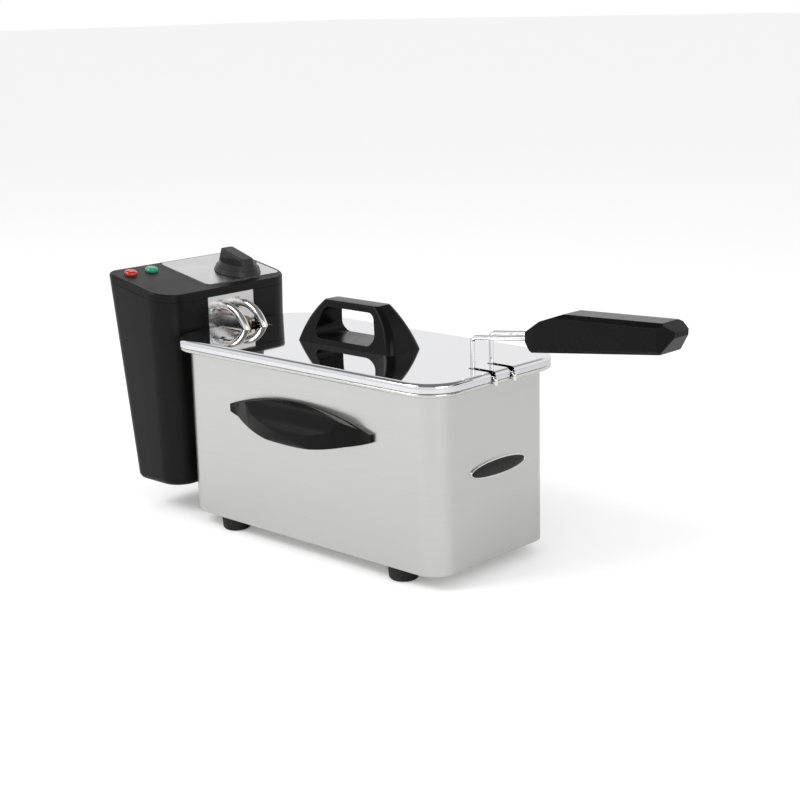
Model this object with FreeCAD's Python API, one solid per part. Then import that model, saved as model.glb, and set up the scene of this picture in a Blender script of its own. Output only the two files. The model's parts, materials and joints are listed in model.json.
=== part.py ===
import FreeCAD, Part
import math
import os

V = FreeCAD.Vector

# Compact deep fryer: steel housing with a lift-out pot, a hang-on heating unit, a basket and a lid.
# Before the final shift +X is the front (basket grip), -X the control box, +Z up, z = 0 the table,
# and x = y = 0 the middle of the housing.  All sizes are in millimetres.

# Gaps between bodies and fits between pieces
PART_GAP = 0.3
HOLE_CLEARANCE = 0.1
SPINDLE_CLEARANCE = 0.05

# Housing
HOUSING_LENGTH = 271.0
HOUSING_WIDTH = 128.0
HOUSING_CORNER = 18.0
HOUSING_HEIGHT = 133.2
HOUSING_SHEET = 0.8
FLOOR_FLANGE = 24.0
BASE_SHEET = 1.0
FOOT_HEIGHT = 11.0
FOOT_TOP_RADIUS = 11.9
FOOT_BOTTOM_RADIUS = 10.9
FOOT_EDGE = 2.8
FOOT_X = 92.0
FOOT_Y = 52.0
VENT_LENGTH = 34.0
VENT_WIDTH = 3.0
VENT_PITCH = 9.0
VENT_COUNT = 9

# Screws
SCREW_RADIUS = 2.0
SCREW_HEAD_RADIUS = 3.9
SCREW_HEAD = 2.2

# Side handles
HANDLE_HALF = 76.0
HANDLE_RISE = 16.0
HANDLE_TIP = 3.0
HANDLE_FLANGE = 3.0
HANDLE_REACH = 16.0
HANDLE_WALL = 3.5
HANDLE_Z = 105.0
HANDLE_SCREW_X = 48.0
HANDLE_SCREW_DEPTH = 5.5

# Badge
BADGE_LENGTH = 62.0
BADGE_HEIGHT = 14.0
BADGE_THICK = 1.2
BADGE_BORDER = 1.0
BADGE_RAISE = 0.4
BADGE_Y = 3.5
BADGE_Z = 80.0
BADGE_PIN_RADIUS = 1.0
BADGE_PIN_Y = 18.0

# Pot
POT_SHEET = 1.0
POT_FLANGE = 8.5
BEAD_RADIUS = 1.5
POT_SIDE_GAP = 3.7
POT_TAPER = 3.0
POT_CORNER = 14.0
POT_FLOOR_Z = 26.0
POT_FLOOR_FILLET = 9.0
LEVEL_MARK_LENGTH = 26.0

# Lid
LID_HEIGHT = 6.5
LID_SHEET = 1.0
LID_EDGE_RADIUS = 3.4
LID_REAR_EDGE = 1.0
NOTCH_HALF = 15.0
NOTCH_MARGIN = 3.0
SLOT_WIDTH = 5.6
SLOT_MARGIN = 1.6
LID_HANDLE_BASE = (51.0, 18.5)
LID_HANDLE_MID = (44.0, 13.0)
LID_HANDLE_TOP = (28.5, 8.5)
LID_HANDLE_HEIGHT = 33.5
LID_HANDLE_FLOOR = 4.5
LID_HANDLE_ROOF = 5.0
LID_HANDLE_OPENING = (34.0, 26.0)
LID_HANDLE_CORNER = 7.0
LID_HANDLE_SCREW_X = 38.0

# Control box
BOX_STANDOFF = 12.5
BOX_DEPTH_TOP = 76.0
BOX_DEPTH_BOTTOM = 57.0
BOX_HALF_TOP = 70.5
BOX_HALF_BOTTOM = 66.0
BOX_FRONT_CORNER = 20.0
BOX_REAR_CORNER = 12.0
BOX_BOTTOM_Z = 24.0
BOX_FRONT_TOP_Z = 183.5
BOX_SLOPE = 11.0
BOX_WALL = 2.5
CAP_HEIGHT = 6.0
CAP_SEAM = 0.4
CAP_THICK = 3.0
BOX_SEAM_DEPTH = 32.0
BOX_POST_RADIUS = 4.2
BOX_POST_Y = 57.5
BOX_POST_LEVELS = (46.0, 150.0)
CASE_SCREW_RADIUS = 1.6
CASE_SCREW_HEAD_RADIUS = 3.0
CASE_SCREW_GRIP = 14.0

# Dial plate, knob and lamps
DIAL_LEFT = -15.5
DIAL_RIGHT = 64.5
DIAL_FRONT = 9.0
DIAL_REAR = 5.0
DIAL_CORNER = 5.0
DIAL_THICK = 0.8
KNOB_SETBACK = 27.0
KNOB_Y = 32.0
KNOB_RADIUS = 19.8
KNOB_SKIRT = 4.0
KNOB_HUB_RADIUS = 15.5
KNOB_HEIGHT = 17.5
KNOB_BAR = 14.0
KNOB_FALL = 3.0
SPINDLE_RADIUS = 3.0
LAMP_SETBACK = 61.0
LAMP_Y = (-54.5, -33.0)
LENS_RADIUS = 5.5
LENS_NECK_RADIUS = 4.5
LENS_RISE = 3.2
LAMP_RADIUS = 4.3
LAMP_LENGTH = 12.0

# Thermostat, cut-out and wiring
THERMOSTAT_SIZE = (30.0, 30.0, 20.0)
THERMOSTAT_DROP = 8.0
BULB_RADIUS = 3.0
BULB_LENGTH = 90.0
CAPILLARY_RADIUS = 1.0
CAPILLARY_Z = 160.0
CAPILLARY_REACH = 24.0
COLLAR_WALL = 1.6
COLLAR_LENGTH = 2.6
CUTOUT_RADIUS = 8.0
CUTOUT_LENGTH = 14.0
CUTOUT_Z = 118.0
RESET_RADIUS = 3.5
RESET_TRAVEL = 2.5
RESET_BEZEL_RADIUS = 7.5
TERMINAL_SIZE = (20.0, 60.0, 15.0)
TERMINAL_Z = 60.0
LEAD_RADIUS = 1.2
GLAND_RADIUS = 8.0
GLAND_BORE = 3.6
GLAND_Z = 44.0

# Heating element
ELEMENT_RADIUS = 3.25
ELEMENT_Y = 9.5
ELEMENT_EXIT_Z = 169.0
ELEMENT_REACH = 32.0
ELEMENT_Z = 42.0
ELEMENT_BEND = 12.0
ELEMENT_ENTRY_BEND = 28.0
ELEMENT_OUTER_Y = 40.0
ELEMENT_INNER_Y = 13.5
ELEMENT_FRONT_X = 100.0
ELEMENT_TURN_X = -60.0
ELEMENT_INSIDE = 12.0
STRAP_WIDTH = 10.0
STRAP_X = (0.0, 62.0)
PLATE_HALF = 24.5
PLATE_TOP = 177.5
PLATE_BOTTOM = 140.0
PLATE_THICK = 1.0
PLATE_SCREW_Y = 19.5
PLATE_SCREW_Z = 165.5
PLATE_SCREW_HEAD = 1.3

# Rear bracket on the housing, with two T-rails that the control box slides down on
BRACKET_SHEET = 1.5
BRACKET_HALF = 45.0
BRACKET_BOTTOM = 58.0
BRACKET_TOP = 134.0
RAIL_Y = 38.0
RAIL_STEM = 2.0
RAIL_HEAD = 5.0
RAIL_THICK = 1.5
RIVET_RADIUS = 2.0
RIVET_HEAD_RADIUS = 3.8
RIVET_HEAD = 1.0
MAGNET_RADIUS = 6.0
MAGNET_LENGTH = 5.0
MAGNET_Z = 100.0

# Basket
BASKET_REAR = -106.0
BASKET_FRONT = 119.0
BASKET_HALF = 50.5
BASKET_CORNER = 12.0
BASKET_FLOOR_Z = 56.0
BASKET_TOP_Z = 131.0
BASKET_SHEET = 1.2
MESH_PITCH = 9.6
MESH_HOLE = 7.4
RING_RADIUS = 2.0
LOWER_RING_Z = 72.0
RIB_RADIUS = 1.5
ROD_RADIUS = 1.75
ROD_Y = 10.3
ROD_BOTTOM_Z = 62.0
ROD_TOP_Z = 176.0
ROD_BEND = 4.0
ROD_SLOPE = 6.0
HOOK_RADIUS = 1.5
HOOK_DROP = 4.6
GRIP_START = 174.0
GRIP_INSERT = 28.0
GRIP_HALF_WIDTH = 13.2
GRIP_BEVEL = 4.0

# Places worked out from the sizes above
housingZ0 = FOOT_HEIGHT
housingZ1 = housingZ0 + HOUSING_HEIGHT
halfL = HOUSING_LENGTH / 2
halfW = HOUSING_WIDTH / 2
flangeZ0 = housingZ1 + PART_GAP
flangeZ1 = flangeZ0 + POT_SHEET
beadZ = flangeZ0 + POT_SHEET / 2
rimL = halfL + POT_FLANGE
rimW = halfW + POT_FLANGE
rimCorner = HOUSING_CORNER + POT_FLANGE
lidZ0 = beadZ + BEAD_RADIUS + PART_GAP
lidZ1 = lidZ0 + LID_HEIGHT
lidRear = -rimL - LID_REAR_EDGE
boxX = -halfL - BOX_STANDOFF
boxTopRearZ = BOX_FRONT_TOP_Z + BOX_DEPTH_TOP * math.tan(math.radians(BOX_SLOPE))
seamX = boxX - BOX_SEAM_DEPTH
slopeN = V(math.sin(math.radians(BOX_SLOPE)), 0, math.cos(math.radians(BOX_SLOPE)))
slopeT = V(-math.cos(math.radians(BOX_SLOPE)), 0, math.sin(math.radians(BOX_SLOPE)))
elementX = boxX + ELEMENT_REACH
capillaryX = boxX + CAPILLARY_REACH
railHeadX = boxX - BOX_WALL - PART_GAP
rodX = BASKET_FRONT + 2 * RING_RADIUS + ROD_RADIUS
hookZ = beadZ + BEAD_RADIUS + PART_GAP + HOOK_RADIUS + 0.4
hookX = rimL + PART_GAP + HOOK_RADIUS + 0.3
boreRadius = SCREW_RADIUS + HOLE_CLEARANCE


def box(x0, x1, y0, y1, z0, z1):
    return Part.makeBox(x1 - x0, y1 - y0, z1 - z0, V(x0, y0, z0))


def rod(start, direction, radius, length):
    return Part.makeCylinder(radius, length, start, direction)


def cut(shape, *tools):
    for tool in tools:
        shape = shape.cut(tool)
    return shape


def join(shapes):
    solid = shapes[0]
    for shape in shapes[1:]:
        solid = solid.fuse(shape)
    return solid.removeSplitter()


def roundedWire(x0, x1, y0, y1, z, rFront, rRear=None):
    """Rounded rectangle at height z; the corners at x1 have radius rFront, those at x0 rRear."""
    rRear = rFront if rRear is None else rRear
    k = math.sqrt(0.5)
    corners = [(x1, y1, rFront, 1, 1), (x0, y1, rRear, -1, 1),
               (x0, y0, rRear, -1, -1), (x1, y0, rFront, 1, -1)]
    arcs = []
    for cx, cy, r, sx, sy in corners:
        ox, oy = cx - sx * r, cy - sy * r
        onX = V(ox + sx * r, oy, z)
        onY = V(ox, oy + sy * r, z)
        middle = V(ox + sx * r * k, oy + sy * r * k, z)
        ends = (onX, onY) if sx * sy > 0 else (onY, onX)
        arcs.append((ends[0], middle, ends[1]))
    edges = []
    for i, (a, m, b) in enumerate(arcs):
        edges.append(Part.Arc(a, m, b).toShape())
        edges.append(Part.makeLine(b, arcs[(i + 1) % 4][0]))
    return Part.Wire(edges)


def roundedPrism(x0, x1, y0, y1, z0, z1, r, rRear=None):
    face = Part.Face(roundedWire(x0, x1, y0, y1, z0, r, rRear))
    return face.extrude(V(0, 0, z1 - z0))


def polygonPrism(points, depth):
    wire = Part.makePolygon(points + [points[0]])
    return Part.Face(wire).extrude(depth)


def bentWire(points, bends):
    """Open path through the points with an arc of the given radius at each inner point."""
    edges = []
    last = points[0]
    for i in range(1, len(points) - 1):
        p = points[i]
        a = (points[i - 1] - p).normalize()
        b = (points[i + 1] - p).normalize()
        angle = a.getAngle(b)
        reach = bends[i - 1] / math.tan(angle / 2)
        start, end = p + a * reach, p + b * reach
        bisector = (a + b).normalize()
        middle = p + bisector * (bends[i - 1] / math.sin(angle / 2) - bends[i - 1])
        if (start - last).Length > 1e-6:
            edges.append(Part.makeLine(last, start))
        edges.append(Part.Arc(start, middle, end).toShape())
        last = end
    edges.append(Part.makeLine(last, points[-1]))
    return Part.Wire(edges)


def pipe(points, bends, radius):
    path = bentWire(points, bends)
    direction = (points[1] - points[0]).normalize()
    profile = Part.Wire([Part.makeCircle(radius, points[0], direction)])
    return path.makePipeShell([profile], True, True)


def ring(x0, x1, y0, y1, z, corner, radius):
    path = roundedWire(x0, x1, y0, y1, z, corner)
    start = path.Edges[0].valueAt(path.Edges[0].FirstParameter)
    tangent = path.Edges[0].tangentAt(path.Edges[0].FirstParameter)
    profile = Part.Wire([Part.makeCircle(radius, start, tangent)])
    return path.makePipeShell([profile], True, True)


def screw(seat, direction, length, radius=SCREW_RADIUS, head=SCREW_HEAD, headRadius=SCREW_HEAD_RADIUS):
    """Pan-head screw whose head sits on the seat point and whose shank runs along direction."""
    top = Part.makeCylinder(headRadius, head, seat, direction * -1)
    edge = [e for e in top.Edges if e.Length > headRadius * 6 and (e.CenterOfMass - seat).Length > head * 0.5]
    top = top.makeFillet(head * 0.45, edge)
    drive = Part.makeBox(headRadius * 1.2, head * 0.4, head * 0.5)
    drive.translate(V(-headRadius * 0.6, -head * 0.2, 0))
    drive.Placement = FreeCAD.Placement(seat - direction * head, FreeCAD.Rotation(V(0, 0, 1), direction)
                                        ).multiply(FreeCAD.Placement(V(-headRadius * 0.6, -head * 0.2, 0),
                                                                     FreeCAD.Rotation()))
    return join([top, rod(seat, direction, radius, length)]).cut(drive)


# ---- housing ----

def footPlaces():
    return [(sx * FOOT_X, sy * FOOT_Y) for sx in (1, -1) for sy in (1, -1)]


def housingShell():
    outer = roundedPrism(-halfL, halfL, -halfW, halfW, housingZ0, housingZ1, HOUSING_CORNER)
    t = HOUSING_SHEET
    inner = roundedPrism(-halfL + t, halfL - t, -halfW + t, halfW - t, housingZ0 + t, housingZ1 + 1,
                         HOUSING_CORNER - t)
    f = FLOOR_FLANGE
    window = roundedPrism(-halfL + f, halfL - f, -halfW + f, halfW - f, housingZ0 - 1, housingZ0 + t + 1, 12)
    shell = cut(outer, inner, window)
    for x, y in footPlaces():
        shell = shell.cut(rod(V(x, y, 0), V(0, 0, 1), boreRadius, 20))
    for side in (1, -1):
        for x in (HANDLE_SCREW_X, -HANDLE_SCREW_X):
            shell = shell.cut(rod(V(x, side * (halfW - 5), HANDLE_Z), V(0, side, 0), boreRadius, 10))
    for y in (BADGE_PIN_Y, -BADGE_PIN_Y):
        shell = shell.cut(rod(V(halfL - 5, BADGE_Y + y, BADGE_Z), V(1, 0, 0),
                              BADGE_PIN_RADIUS + HOLE_CLEARANCE, 10))
    for y, z in rivetPlaces():
        shell = shell.cut(rod(V(-halfL - 5, y, z), V(1, 0, 0), RIVET_RADIUS + HOLE_CLEARANCE, 10))
    return shell


def basePlate():
    t = HOUSING_SHEET + PART_GAP
    z0 = housingZ0 + HOUSING_SHEET
    plate = roundedPrism(-halfL + t, halfL - t, -halfW + t, halfW - t, z0, z0 + BASE_SHEET, HOUSING_CORNER - t)
    for x, y in footPlaces():
        plate = plate.cut(rod(V(x, y, 0), V(0, 0, 1), boreRadius, 20))
    first = -(VENT_COUNT - 1) / 2 * VENT_PITCH
    for i in range(VENT_COUNT):
        x = first + i * VENT_PITCH
        slot = roundedPrism(x - VENT_WIDTH / 2, x + VENT_WIDTH / 2, -VENT_LENGTH / 2, VENT_LENGTH / 2,
                            z0 - 1, z0 + BASE_SHEET + 1, VENT_WIDTH / 2 - 0.01)
        plate = plate.cut(slot)
    return plate


def foot(x, y):
    body = Part.makeCone(FOOT_BOTTOM_RADIUS, FOOT_TOP_RADIUS, FOOT_HEIGHT, V(x, y, 0), V(0, 0, 1))
    rim = [e for e in body.Edges if abs(e.CenterOfMass.z) < 0.01 and e.Length > 10]
    body = body.makeFillet(FOOT_EDGE, rim)
    recess = rod(V(x, y, -1), V(0, 0, 1), SCREW_HEAD_RADIUS + 0.6, 6)
    bore = rod(V(x, y, 0), V(0, 0, 1), boreRadius, FOOT_HEIGHT + 1)
    return cut(body, recess, bore)


def footScrews():
    length = FOOT_HEIGHT - 5 + HOUSING_SHEET + BASE_SHEET + 4
    return Part.Compound([screw(V(x, y, 5), V(0, 0, 1), length) for x, y in footPlaces()])


def footNuts():
    z0 = housingZ0 + HOUSING_SHEET + BASE_SHEET
    nuts = []
    for x, y in footPlaces():
        points = [V(x + 4 * math.cos(math.radians(60 * k)), y + 4 * math.sin(math.radians(60 * k)), z0)
                  for k in range(6)]
        nuts.append(polygonPrism(points, V(0, 0, 3)).cut(rod(V(x, y, z0 - 1), V(0, 0, 1), boreRadius, 5)))
    return Part.Compound(nuts)


def leafFace(half, rise, tip, y):
    """Leaf outline on the plane y: two arcs whose blunt ends are 2 * tip high."""
    a, b = V(-half, y, HANDLE_Z + tip), V(half, y, HANDLE_Z + tip)
    c, d = V(half, y, HANDLE_Z - tip), V(-half, y, HANDLE_Z - tip)
    edges = [Part.Arc(a, V(0, y, HANDLE_Z + rise), b).toShape(), Part.makeLine(b, c),
             Part.Arc(c, V(0, y, HANDLE_Z - rise), d).toShape(), Part.makeLine(d, a)]
    return Part.Face(Part.Wire(edges))


def lensPrism(half, reach, y):
    """Plan outline that bulges to -y by reach and is a chord at y, extruded over the handle's height."""
    a, b = V(-half, y, HANDLE_Z - 30), V(half, y, HANDLE_Z - 30)
    edges = [Part.Arc(a, V(0, y - reach, HANDLE_Z - 30), b).toShape(), Part.makeLine(b, a)]
    return Part.Face(Part.Wire(edges)).extrude(V(0, 0, 60))


def crossSection(steps, lineSteps, y):
    """Prism along x whose side view runs through steps as a smooth curve, then along lineSteps."""
    curve = Part.BSplineCurve()
    curve.interpolate([V(-HANDLE_HALF, y - d, HANDLE_Z + h) for d, h in steps])
    corners = [V(-HANDLE_HALF, y - d, HANDLE_Z + h) for d, h in [steps[-1]] + lineSteps + [steps[0]]]
    edges = [curve.toShape()]
    for a, b in zip(corners, corners[1:]):
        edges.append(Part.makeLine(a, b))
    return Part.Face(Part.Wire(edges)).extrude(V(2 * HANDLE_HALF, 0, 0))


def sideHandle():
    y = -halfW
    r = HANDLE_RISE
    flange = leafFace(HANDLE_HALF, r, HANDLE_TIP, y).extrude(V(0, -HANDLE_FLANGE, 0))
    leaf = leafFace(HANDLE_HALF - 1.2, r - 0.4, HANDLE_TIP - 0.6, y).extrude(V(0, -HANDLE_REACH - 2, 0))
    d = HANDLE_REACH
    upper = [(HANDLE_FLANGE, r), (0.55 * d, 0.55 * r), (0.72 * d, 0.05 * r), (0.95 * d, -0.3 * r),
             (d, -0.6 * r), (0.82 * d, -r)]
    grip = leaf.common(lensPrism(HANDLE_HALF - 0.5, d, y)).common(crossSection(upper, [(0, -r), (0, r)], y))
    w = HANDLE_WALL
    hollow = lensPrism(HANDLE_HALF - 26, d - w, y)
    inner = [(0.72 * d - w, 0.1 * r), (0.95 * d - w, -0.3 * r), (d - w, -0.6 * r), (0.86 * d - w, -1.2 * r)]
    lines = [(HANDLE_FLANGE, -1.2 * r), (HANDLE_FLANGE, 0.1 * r)]
    hollow = hollow.common(crossSection(inner, lines, y))
    body = join([flange, grip]).cut(hollow)
    for x in (HANDLE_SCREW_X, -HANDLE_SCREW_X):
        body = body.cut(rod(V(x, y + 1, HANDLE_Z), V(0, -1, 0), boreRadius, HANDLE_SCREW_DEPTH + 1.2))
    return body


def sideHandleScrews():
    screws = []
    for side in (1, -1):
        for x in (HANDLE_SCREW_X, -HANDLE_SCREW_X):
            seat = V(x, side * (halfW - HOUSING_SHEET), HANDLE_Z)
            screws.append(screw(seat, V(0, side, 0), HOUSING_SHEET + HANDLE_SCREW_DEPTH - 0.5, head=1.8))
    return Part.Compound(screws)


def badgePlate():
    def oval(grow, x0, x1):
        e = Part.Ellipse(V(0, 0, 0), BADGE_LENGTH / 2 + grow, BADGE_HEIGHT / 2 + grow)
        face = Part.Face(Part.Wire([e.toShape()]))
        face.Placement = FreeCAD.Placement(V(x0, BADGE_Y, BADGE_Z), FreeCAD.Rotation(V(0, 1, 0), V(0, 0, 1),
                                                                                   V(1, 0, 0), "XYZ"))
        return face.extrude(V(x1 - x0, 0, 0))
    plate = oval(0, halfL, halfL + BADGE_THICK)
    border = oval(0, halfL + BADGE_THICK, halfL + BADGE_THICK + BADGE_RAISE)
    border = border.cut(oval(-BADGE_BORDER, halfL, halfL + 3))
    pins = [rod(V(halfL, BADGE_Y + y, BADGE_Z), V(-1, 0, 0), BADGE_PIN_RADIUS, 4)
            for y in (BADGE_PIN_Y, -BADGE_PIN_Y)]
    return join([plate, border] + pins)


def badgeClips():
    x = halfL - HOUSING_SHEET
    clips = []
    for y in (BADGE_PIN_Y, -BADGE_PIN_Y):
        seat = V(x, BADGE_Y + y, BADGE_Z)
        washer = rod(seat, V(-1, 0, 0), 4, 0.8).cut(rod(seat, V(-1, 0, 0), BADGE_PIN_RADIUS + 0.02, 1))
        clips.append(washer)
    return Part.Compound(clips)


def rivetPlaces():
    half = RAIL_Y - RAIL_HEAD - 6
    return [(sy * half, z) for sy in (1, -1) for z in (BRACKET_BOTTOM + 14, BRACKET_TOP - 10)]


def rearBracket():
    """Plate on the back of the housing with two upright T-rails that reach through the wall of the box."""
    s = BRACKET_SHEET
    x1 = -halfL
    parts = [box(x1 - s, x1, -BRACKET_HALF, BRACKET_HALF, BRACKET_BOTTOM, BRACKET_TOP)]
    for y in (RAIL_Y, -RAIL_Y):
        parts.append(box(railHeadX - RAIL_THICK / 2, x1 - s / 2, y - RAIL_STEM / 2, y + RAIL_STEM / 2,
                         BRACKET_BOTTOM, BRACKET_TOP))
        parts.append(box(railHeadX - RAIL_THICK, railHeadX, y - RAIL_HEAD, y + RAIL_HEAD, BRACKET_BOTTOM, BRACKET_TOP))
    bracket = join(parts)
    for y, z in rivetPlaces():
        bracket = bracket.cut(rod(V(-halfL - 5, y, z), V(1, 0, 0), RIVET_RADIUS + HOLE_CLEARANCE, 10))
    return bracket


def bracketRivets():
    rivets = []
    for y, z in rivetPlaces():
        inside = V(-halfL + HOUSING_SHEET, y, z)
        outside = V(-halfL - BRACKET_SHEET, y, z)
        shank = rod(outside, V(1, 0, 0), RIVET_RADIUS, BRACKET_SHEET + HOUSING_SHEET)
        rivets.append(join([shank, rod(inside, V(1, 0, 0), RIVET_HEAD_RADIUS, RIVET_HEAD),
                            rod(outside, V(-1, 0, 0), RIVET_HEAD_RADIUS, RIVET_HEAD)]))
    return Part.Compound(rivets)


def interlockMagnet():
    return rod(V(-halfL - BRACKET_SHEET, 0, MAGNET_Z), V(-1, 0, 0), MAGNET_RADIUS, MAGNET_LENGTH)


# ---- pot ----

def potInner(grow, z0, z1):
    """Tapered pot volume, grown by grow on every side, between two heights."""
    topL = halfL - HOUSING_SHEET - POT_SIDE_GAP - POT_SHEET + grow
    topW = halfW - HOUSING_SHEET - POT_SIDE_GAP - POT_SHEET + grow
    wires = []
    for z in (z0, z1):
        inset = POT_TAPER * (flangeZ1 - z) / (flangeZ1 - POT_FLOOR_Z)
        x, y = topL - inset, topW - inset
        wires.append(roundedWire(-x, x, -y, y, z, POT_CORNER - POT_SHEET + grow))
    body = Part.makeLoft(wires, True, True)
    rim = [e for e in body.Edges if abs(e.BoundBox.ZMin - z0) < 1e-6 and abs(e.BoundBox.ZMax - z0) < 1e-6]
    return body.makeFillet(POT_FLOOR_FILLET + grow, rim)


def oilPot():
    flange = roundedPrism(-rimL + BEAD_RADIUS, rimL - BEAD_RADIUS, -rimW + BEAD_RADIUS, rimW - BEAD_RADIUS,
                          flangeZ0, flangeZ1, rimCorner - BEAD_RADIUS)
    bead = ring(-rimL + BEAD_RADIUS, rimL - BEAD_RADIUS, -rimW + BEAD_RADIUS, rimW - BEAD_RADIUS,
                beadZ, rimCorner - BEAD_RADIUS, BEAD_RADIUS)
    outer = potInner(POT_SHEET, POT_FLOOR_Z, flangeZ1)
    inner = potInner(0, POT_FLOOR_Z + POT_SHEET, flangeZ1 + 5)
    pot = join([flange, outer, bead]).cut(inner)
    wallY = halfW - HOUSING_SHEET - POT_SIDE_GAP - POT_SHEET
    for z in (88.0, 104.0):
        y = wallY - POT_TAPER * (flangeZ1 - z) / (flangeZ1 - POT_FLOOR_Z)
        mark = box(-LEVEL_MARK_LENGTH / 2, LEVEL_MARK_LENGTH / 2, y - 1, y + 0.4, z - 0.6, z + 0.6)
        pot = pot.cut(mark)
    return pot


# ---- heating unit ----

def boxSolid(inset, z0, z1):
    """Control box volume, inset by a wall on every side, with the depth growing from bottom to top."""
    wires = []
    for z in (z0, z1):
        t = (z - BOX_BOTTOM_Z) / (boxTopRearZ - BOX_BOTTOM_Z)
        depth = BOX_DEPTH_BOTTOM + (BOX_DEPTH_TOP - BOX_DEPTH_BOTTOM) * t
        half = BOX_HALF_BOTTOM + (BOX_HALF_TOP - BOX_HALF_BOTTOM) * t
        wires.append(roundedWire(boxX - depth + inset, boxX - inset, -half + inset, half - inset, z,
                                 BOX_FRONT_CORNER - inset, BOX_REAR_CORNER - inset))
    return Part.makeLoft(wires, True, True)


def slopeCutter(drop):
    """Everything above the plane that lies drop below the sloping top."""
    a = V(boxX, -100, BOX_FRONT_TOP_Z) - slopeN * drop - slopeT * 60
    b = a + slopeT * 220
    return polygonPrism([a, b, b + slopeN * 90, a + slopeN * 90], V(0, 200, 0))


def topPoint(setback, y, rise=0.0):
    """Point on the sloping top: setback is measured back from its front edge, along the slope."""
    return V(boxX, y, BOX_FRONT_TOP_Z) + slopeT * setback + slopeN * rise


def postPlaces():
    return [(sy * BOX_POST_Y, z) for sy in (1, -1) for z in BOX_POST_LEVELS]


def rearWallX(z):
    t = (z - BOX_BOTTOM_Z) / (boxTopRearZ - BOX_BOTTOM_Z)
    return boxX - BOX_DEPTH_BOTTOM - (BOX_DEPTH_TOP - BOX_DEPTH_BOTTOM) * t


def boxShell():
    outer = boxSolid(0, BOX_BOTTOM_Z, boxTopRearZ + 10)
    rim = [e for e in outer.Edges if abs(e.BoundBox.ZMin - BOX_BOTTOM_Z) < 1e-6
           and abs(e.BoundBox.ZMax - BOX_BOTTOM_Z) < 1e-6]
    outer = outer.makeFillet(6.0, rim)
    inner = boxSolid(BOX_WALL, BOX_BOTTOM_Z + BOX_WALL, boxTopRearZ + 12)
    return outer.cut(inner).cut(slopeCutter(CAP_HEIGHT + CAP_SEAM))


def railSlots():
    """Slots in the front wall of the box, closed at the top, where it rests on the ends of the T-rails."""
    slots = []
    for y in (RAIL_Y, -RAIL_Y):
        half = RAIL_STEM / 2 + PART_GAP
        slots.append(box(boxX - BOX_WALL - 1, boxX + 1, y - half, y + half, 0, BRACKET_TOP + PART_GAP))
        half = RAIL_HEAD + PART_GAP
        slots.append(box(railHeadX - RAIL_THICK - PART_GAP, boxX + 1, y - half, y + half,
                         0, BOX_BOTTOM_Z + BOX_WALL + PART_GAP))
    return slots


def controlFrontShell():
    shell = boxShell().common(box(seamX, 0, -100, 100, 0, 260))
    posts = [rod(V(seamX, y, z), V(1, 0, 0), BOX_POST_RADIUS, boxX - BOX_WALL / 2 - seamX)
             for y, z in postPlaces()]
    posts = [p.common(boxSolid(1.0, BOX_BOTTOM_Z + 1, boxTopRearZ)) for p in posts]
    shell = cut(join([shell] + posts), *railSlots())
    for y, z in postPlaces():
        shell = shell.cut(rod(V(seamX - 1, y, z), V(1, 0, 0), CASE_SCREW_RADIUS + HOLE_CLEARANCE,
                              CASE_SCREW_GRIP + 1))
    for y in (ELEMENT_Y, -ELEMENT_Y):
        shell = shell.cut(rod(V(boxX - 5, y, ELEMENT_EXIT_Z), V(1, 0, 0), ELEMENT_RADIUS + 0.6, 10))
    shell = shell.cut(rod(V(boxX - 5, 0, CAPILLARY_Z), V(1, 0, 0), CAPILLARY_RADIUS + HOLE_CLEARANCE, 10))
    for y in (PLATE_SCREW_Y, -PLATE_SCREW_Y):
        shell = shell.cut(rod(V(boxX - 5, y, PLATE_SCREW_Z), V(1, 0, 0), CASE_SCREW_RADIUS + HOLE_CLEARANCE, 10))
    return shell


def controlRearCover():
    shell = boxShell().common(box(-260, seamX, -100, 100, 0, 260))
    for y, z in postPlaces():
        x0 = rearWallX(z)
        post = rod(V(x0 - 4, y, z), V(1, 0, 0), BOX_POST_RADIUS, seamX - x0 + 4)
        shell = join([shell, post.common(boxSolid(0, BOX_BOTTOM_Z, boxTopRearZ))])
        shell = shell.cut(rod(V(x0 - 9, y, z), V(1, 0, 0), CASE_SCREW_RADIUS + HOLE_CLEARANCE, 60))
        shell = shell.cut(rod(V(x0 - 9, y, z), V(1, 0, 0), CASE_SCREW_HEAD_RADIUS + 0.3, 12))
    shell = shell.cut(rod(V(rearWallX(CUTOUT_Z) - 9, 0, CUTOUT_Z), V(1, 0, 0), RESET_BEZEL_RADIUS - 2.9, 20))
    shell = shell.cut(rod(V(rearWallX(GLAND_Z) - 9, 0, GLAND_Z), V(1, 0, 0), GLAND_RADIUS - 2, 20))
    return shell


def caseScrews():
    screws = []
    for y, z in postPlaces():
        seat = V(rearWallX(z) + 3, y, z)
        screws.append(screw(seat, V(1, 0, 0), seamX - seat.x + CASE_SCREW_GRIP - 1, CASE_SCREW_RADIUS, 1.8,
                            CASE_SCREW_HEAD_RADIUS))
    return Part.Compound(screws)


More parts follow.
